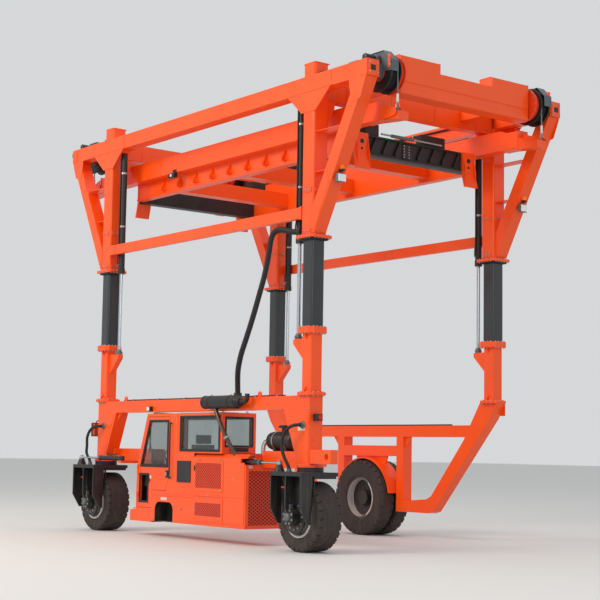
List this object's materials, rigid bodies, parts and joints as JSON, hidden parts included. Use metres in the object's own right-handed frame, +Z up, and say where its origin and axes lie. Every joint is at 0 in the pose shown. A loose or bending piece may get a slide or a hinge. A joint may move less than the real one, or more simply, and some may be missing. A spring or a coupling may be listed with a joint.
{
  "type": "straddle carrier",
  "caption": "Gantry machine on wheels that straddles a shipping container, with telescopic legs, rope winches and a spreader.",
  "frame": {"origin": "on the ground under the centre of the machine's bounding box", "axes": "+X forward, towards the cab end, +Y towards the driver's side, +Z up"},
  "size_m": [8.66, 4.416, 7.1],
  "materials": {
    "orange_paint": "satin",
    "grey_paint": "satin",
    "black_paint": "satin",
    "chrome": "polished",
    "rim": "satin",
    "tyre": "matte",
    "glass": "clear",
    "steel_rope": "matte",
    "hose": "matte",
    "seat": "matte",
    "iron": "rough"
  },
  "bodies": {
    "driver_chassis": {"driver_side_frame": "orange_paint", "leg_driver_front": "orange_paint", "leg_driver_rear": "orange_paint", "lift_rod_driver_front": "chrome", "lift_rod_driver_rear": "chrome", "cab_shell": "orange_paint", "cab_side_glass": "glass", "cab_windscreen": "glass", "driver_seat": "seat", "engine_housing": "orange_paint", "engine_block": "iron", "exhaust_silencer": "black_paint", "air_cleaner": "black_paint", "umbilical_hose": "hose"},
    "steer_front": {"fork_front": "black_paint"},
    "steer_rear": {"fork_rear": "black_paint"},
    "wheel_front": {"tyre_front": "tyre", "rim_front": "rim"},
    "wheel_rear": {"tyre_rear": "tyre", "rim_rear": "rim"},
    "steer_barrel_front_body": {"steer_barrel_front": "grey_paint"},
    "steer_rod_front_body": {"steer_rod_front": "chrome"},
    "steer_barrel_rear_body": {"steer_barrel_rear": "grey_paint"},
    "steer_rod_rear_body": {"steer_rod_rear": "chrome"},
    "door": {"cab_door": "orange_paint", "cab_door_glass": "glass"},
    "upper_frame": {"corner_frame_driver_front": "orange_paint", "corner_frame_driver_rear": "orange_paint", "corner_frame_far_front": "orange_paint", "corner_frame_far_rear": "orange_paint", "top_beam_driver": "orange_paint", "top_beam_far": "orange_paint", "mid_beam_driver": "orange_paint", "mid_beam_far": "orange_paint", "cross_beam_front": "orange_paint", "cross_beam_rear": "orange_paint", "winch_beam_front": "orange_paint", "winch_beam_rear": "orange_paint", "lift_barrel_driver_front": "black_paint", "lift_barrel_driver_rear": "black_paint", "lift_barrel_far_front": "black_paint", "lift_barrel_far_rear": "black_paint", "hoist_rope_driver_front": "steel_rope", "hoist_rope_driver_rear": "steel_rope", "hoist_rope_far_front": "steel_rope", "hoist_rope_far_rear": "steel_rope"},
    "far_chassis": {"far_side_frame": "orange_paint", "leg_far_front": "orange_paint", "leg_far_rear": "orange_paint", "lift_rod_far_front": "chrome", "lift_rod_far_rear": "chrome"},
    "wheel_far": {"far_tyre_inner": "tyre", "far_tyre_outer": "tyre", "far_rim": "rim"},
    "spreader": {"spreader_frame": "orange_paint", "spreader_end_front": "black_paint", "spreader_end_rear": "black_paint"},
    "drums_front": {"winch_drums_front": "black_paint"},
    "drums_rear": {"winch_drums_rear": "black_paint"}
  },
  "joints": [
    {"name": "steer_front", "type": "hinge", "parent": "driver_chassis", "child": "steer_front", "pos_m": [2.886, 1.758, 1.16], "axis": [0, 0, 1], "range_deg": [-20, 30]},
    {"name": "steer_rear", "type": "hinge", "parent": "driver_chassis", "child": "steer_rear", "pos_m": [-2.886, 1.758, 1.16], "axis": [0, 0, 1], "range_deg": [-20, 30]},
    {"name": "wheel_front_spin", "type": "hinge", "parent": "steer_front", "child": "wheel_front", "pos_m": [2.886, 1.758, 0.5], "axis": [0, 1, 0], "continuous": true},
    {"name": "wheel_rear_spin", "type": "hinge", "parent": "steer_rear", "child": "wheel_rear", "pos_m": [-2.886, 1.758, 0.5], "axis": [0, 1, 0], "continuous": true},
    {"name": "wheel_far_spin", "type": "hinge", "parent": "far_chassis", "child": "wheel_far", "pos_m": [0, -1.898, 0.64], "axis": [0, 1, 0], "continuous": true},
    {"name": "cab_door_hinge", "type": "hinge", "parent": "driver_chassis", "child": "door", "pos_m": [1.547, 1.9243, 1], "axis": [0, 0, -1], "range_deg": [0, 75]},
    {"name": "frame_lift", "type": "slide", "parent": "driver_chassis", "child": "upper_frame", "axis": [0, 0, 1], "range_m": [-1.2, 0.4], "deforming": ["umbilical_hose"]},
    {"name": "far_side_slide", "type": "slide", "parent": "upper_frame", "child": "far_chassis", "axis": [0, 0, 1], "range_m": [-0.4, 1.2]},
    {"name": "hoist", "type": "slide", "parent": "upper_frame", "child": "spreader", "axis": [0, 0, 1], "range_m": [-2.9, 0], "deforming": ["hoist_rope_driver_front", "hoist_rope_driver_rear", "hoist_rope_far_front", "hoist_rope_far_rear"]},
    {"name": "drums_front_spin", "type": "hinge", "parent": "upper_frame", "child": "drums_front", "pos_m": [4.033, -0.088, 6.78], "axis": [0, 1, 0], "continuous": true},
    {"name": "drums_rear_spin", "type": "hinge", "parent": "upper_frame", "child": "drums_rear", "pos_m": [-4.033, -0.088, 6.78], "axis": [0, 1, 0], "continuous": true},
    {"name": "steer_barrel_front_pin", "type": "hinge", "parent": "driver_chassis", "child": "steer_barrel_front_body", "pos_m": [1.9, 2.028, 1.252], "axis": [0, 0, 1], "range_deg": [-8, 10]},
    {"name": "steer_rod_front_slide", "type": "slide", "parent": "steer_barrel_front_body", "child": "steer_rod_front_body", "axis": [1, 0, 0], "range_m": [-0.18, 0.13]},
    {"name": "steer_barrel_rear_pin", "type": "hinge", "parent": "driver_chassis", "child": "steer_barrel_rear_body", "pos_m": [-1.2, 1.782, 1.252], "axis": [0, 0, 1], "range_deg": [-8, 6]},
    {"name": "steer_rod_rear_slide", "type": "slide", "parent": "steer_barrel_rear_body", "child": "steer_rod_rear_body", "axis": [-0.9827, 0.1851, 0], "range_m": [-0.15, 0.21]}
  ],
  "couplings": [
    {"joint": "far_side_slide", "follows": "frame_lift", "ratio": -1},
    {"joint": "drums_front_spin", "follows": "hoist", "rad_per_m": -4.158},
    {"joint": "drums_rear_spin", "follows": "hoist", "rad_per_m": 4.158},
    {"joint": "steer_barrel_front_pin", "follows": "steer_front", "ratio": 0.26358},
    {"joint": "steer_rod_front_slide", "follows": "steer_front", "m_per_rad": -0.30045},
    {"joint": "steer_barrel_rear_pin", "follows": "steer_rear", "ratio": -0.19611},
    {"joint": "steer_rod_rear_slide", "follows": "steer_rear", "m_per_rad": 0.36895}
  ]
}
